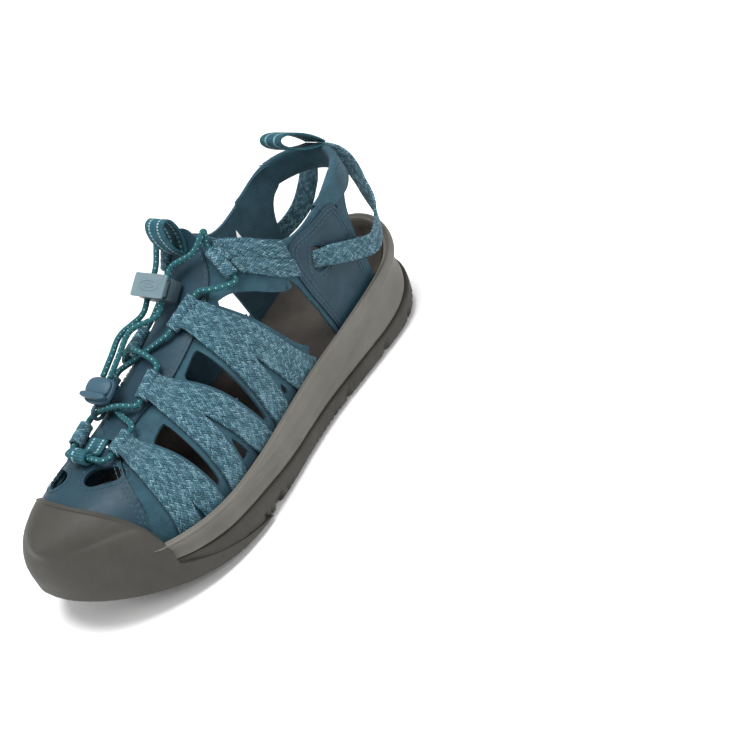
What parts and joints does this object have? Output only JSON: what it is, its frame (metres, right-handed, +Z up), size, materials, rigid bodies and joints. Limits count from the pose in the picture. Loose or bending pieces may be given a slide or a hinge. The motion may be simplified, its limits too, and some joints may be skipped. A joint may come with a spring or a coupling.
{
  "type": "strappy sport sandal",
  "caption": "Left closed-toe sport sandal: woven straps and elastic lace over a rubber-tipped, cushioned sole, with a cord lock, pull loops and an open-backed heel strap.",
  "frame": {"origin": "on the ground under the middle of the outsole's length and width", "axes": "+Y towards the heel, +X towards the outer side of the left foot, +Z up"},
  "size_m": [0.1009, 0.2686, 0.1305],
  "materials": {
    "outsole_rubber": "matt moulded rubber, warm dark grey",
    "midsole_foam": "matt moulded foam, light taupe grey",
    "board": "pressed fibre board",
    "footbed_foam": "soft moulded foam",
    "footbed_cover": "brushed fabric, dark grey brown",
    "webbing": "heathered woven webbing, light and dark teal blue",
    "overlay": "smooth synthetic nubuck, dark teal, semi-matt",
    "lining": "knit-faced neoprene, lighter teal",
    "tape": "woven tape, dark teal with two light stripes",
    "lace": "braided elastic cord, teal green with light flecks",
    "lock_plastic": "moulded plastic, grey teal",
    "spring_steel": "spring wire",
    "hook_rubber": "soft moulded rubber, blue grey",
    "label": "woven label, white with black edge"
  },
  "bodies": {
    "sandal": {"outsole": "outsole_rubber", "midsole": "midsole_foam", "toe_bumper": "outsole_rubber", "lasting_board": "board", "footbed_foam": "footbed_foam", "footbed_cover": "footbed_cover", "strap_lateral_1": "webbing", "strap_lateral_2": "webbing", "strap_lateral_3": "webbing", "strap_medial_1": "webbing", "strap_medial_2": "webbing", "strap_medial_3": "webbing", "forefoot_lining": "lining", "vamp_panel": "overlay", "tongue": "overlay", "quarter_lining_lateral": "lining", "quarter_overlay_lateral": "overlay", "ankle_band_lateral": "webbing", "quarter_lining_medial": "lining", "quarter_overlay_medial": "overlay", "ankle_band_medial": "webbing", "heel_band": "lining", "heel_webbing": "webbing", "toe_tape": "tape", "lace_lateral": "lace", "lace_medial": "lace", "size_label": "label"},
    "cord_lock": {"cord_lock_body": "lock_plastic", "cord_lock_spring": "spring_steel"},
    "cord_lock_button": {"cord_lock_plunger": "lock_plastic"},
    "heel_loop": {"heel_pull_loop": "tape"},
    "tongue_loop": {"tongue_pull_loop": "tape"},
    "end_hook": {"end_hook_base": "hook_rubber", "end_hook_cover": "hook_rubber"}
  },
  "joints": [
    {"name": "cord_lock_slide", "type": "slide", "parent": "sandal", "child": "cord_lock", "axis": [0, 0.829, 0.5592], "range_m": [-0.0025, 0.002]},
    {"name": "cord_lock_press", "type": "slide", "parent": "cord_lock", "child": "cord_lock_button", "axis": [0, 0.5592, -0.829], "range_m": [0, 0.0022], "stiffness_N_per_m": 1000, "springref_m": -0.001, "deforming": ["cord_lock_spring"]},
    {"name": "heel_loop_hinge", "type": "hinge", "parent": "sandal", "child": "heel_loop", "pos_m": [-0.0003, 0.1224, 0.1028], "axis": [1, 0, 0], "range_deg": [-50, 12], "stiffness_Nm_per_rad": 0.02},
    {"name": "tongue_loop_hinge", "type": "hinge", "parent": "sandal", "child": "tongue_loop", "pos_m": [-0.009, 0.019, 0.1107], "axis": [1, 0, 0], "range_deg": [-3, 12], "stiffness_Nm_per_rad": 0.02},
    {"name": "end_hook_hinge", "type": "hinge", "parent": "sandal", "child": "end_hook", "pos_m": [-0.0191, -0.0585, 0.0717], "axis": [1, 0, 0], "range_deg": [-2, 25]}
  ]
}
